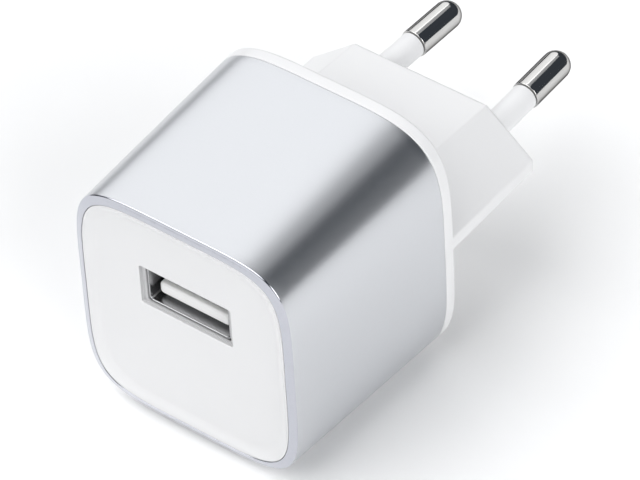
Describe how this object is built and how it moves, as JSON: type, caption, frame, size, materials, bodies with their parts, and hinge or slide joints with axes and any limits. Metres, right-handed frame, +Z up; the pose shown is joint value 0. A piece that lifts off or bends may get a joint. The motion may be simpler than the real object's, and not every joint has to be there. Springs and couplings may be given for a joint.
{
  "type": "usb wall charger",
  "caption": "Compact wall charger with a satin metal body, white front cover with a USB-A port and a two-pin europlug on a flat-topped nose with slanted sides.",
  "frame": {"origin": "midway between the two plug pins, on the flat end of the nose that meets the wall socket", "axes": "+Y into the socket along the plug, -Y out of the USB port, +X to the right seen from the port side, +Z up with the port above the line of the pins"},
  "size_m": [0.0364, 0.0686, 0.0384],
  "materials": {
    "satin_aluminium": "satin, fine bead-blasted grain, polished front bevel",
    "gloss_white": "smooth glossy moulding",
    "housing_white": "semi-gloss moulding",
    "sleeve_white": "smooth satin insulation",
    "insulator_white": "satin engineering plastic",
    "nickel": "bright nickel plate",
    "stamped_steel": "tinned stamped steel",
    "gold_contact": "gold-flashed spring bronze",
    "brass_strip": "plain rolled brass",
    "board_green": "solder-resist over glass laminate",
    "ferrite": "dark sintered ferrite",
    "bobbin_black": "moulded phenolic",
    "copper_wire": "enamelled copper windings",
    "yellow_tape": "polyester tape",
    "capacitor_black": "shrink-sleeved can",
    "capacitor_blue": "shrink-sleeved can",
    "disc_blue": "dipped epoxy",
    "resistor_body": "cement coating",
    "choke_sleeve": "shrink tube over a wound core",
    "chip_black": "moulded epoxy",
    "chip_brown": "fired ceramic",
    "fish_paper": "pressed insulation paper",
    "tinned_wire": "tinned copper"
  },
  "bodies": {
    "charger": {"metal_sleeve": "satin_aluminium", "front_cover": "gloss_white", "main_housing": "housing_white", "pin_retainer": "insulator_white", "pin_left": "nickel", "pin_right": "nickel", "pin_sleeve_left": "sleeve_white", "pin_sleeve_right": "sleeve_white", "mains_strip_left": "brass_strip", "mains_strip_right": "brass_strip", "main_board": "board_green", "transformer_core_upper": "ferrite", "transformer_core_lower": "ferrite", "transformer_bobbin": "bobbin_black", "transformer_winding": "copper_wire", "transformer_tape": "yellow_tape", "transformer_pins": "tinned_wire", "input_capacitor_left": "capacitor_black", "input_capacitor_right": "capacitor_black", "bridge_rectifier": "chip_black", "fusible_resistor": "resistor_body", "input_choke": "choke_sleeve", "safety_capacitor": "disc_blue", "controller_chip": "chip_black", "snubber_diode": "chip_black", "output_diode": "chip_black", "output_capacitor": "capacitor_blue", "chip_parts": "chip_brown", "insulation_sheet": "fish_paper", "usb_shell": "stamped_steel", "usb_insulator": "insulator_white", "usb_contact_tails": "gold_contact"},
    "contact_1": {"usb_contact_1": "gold_contact"},
    "contact_2": {"usb_contact_2": "gold_contact"},
    "contact_3": {"usb_contact_3": "gold_contact"},
    "contact_4": {"usb_contact_4": "gold_contact"}
  },
  "joints": [
    {"name": "contact_1_spring", "type": "hinge", "parent": "charger", "child": "contact_1", "pos_m": [-0.0035, -0.0391, 0.00354], "axis": [1, 0, 0], "range_deg": [0, 3.5], "stiffness_Nm_per_rad": 0.05},
    {"name": "contact_2_spring", "type": "hinge", "parent": "charger", "child": "contact_2", "pos_m": [-0.001, -0.0391, 0.00354], "axis": [1, 0, 0], "range_deg": [0, 3.5], "stiffness_Nm_per_rad": 0.05},
    {"name": "contact_3_spring", "type": "hinge", "parent": "charger", "child": "contact_3", "pos_m": [0.001, -0.0391, 0.00354], "axis": [1, 0, 0], "range_deg": [0, 3.5], "stiffness_Nm_per_rad": 0.05},
    {"name": "contact_4_spring", "type": "hinge", "parent": "charger", "child": "contact_4", "pos_m": [0.0035, -0.0391, 0.00354], "axis": [1, 0, 0], "range_deg": [0, 3.5], "stiffness_Nm_per_rad": 0.05}
  ],
  "couplings": [
    {"joint": "contact_2_spring", "follows": "contact_1_spring", "ratio": 1},
    {"joint": "contact_3_spring", "follows": "contact_1_spring", "ratio": 1},
    {"joint": "contact_4_spring", "follows": "contact_1_spring", "ratio": 1}
  ]
}
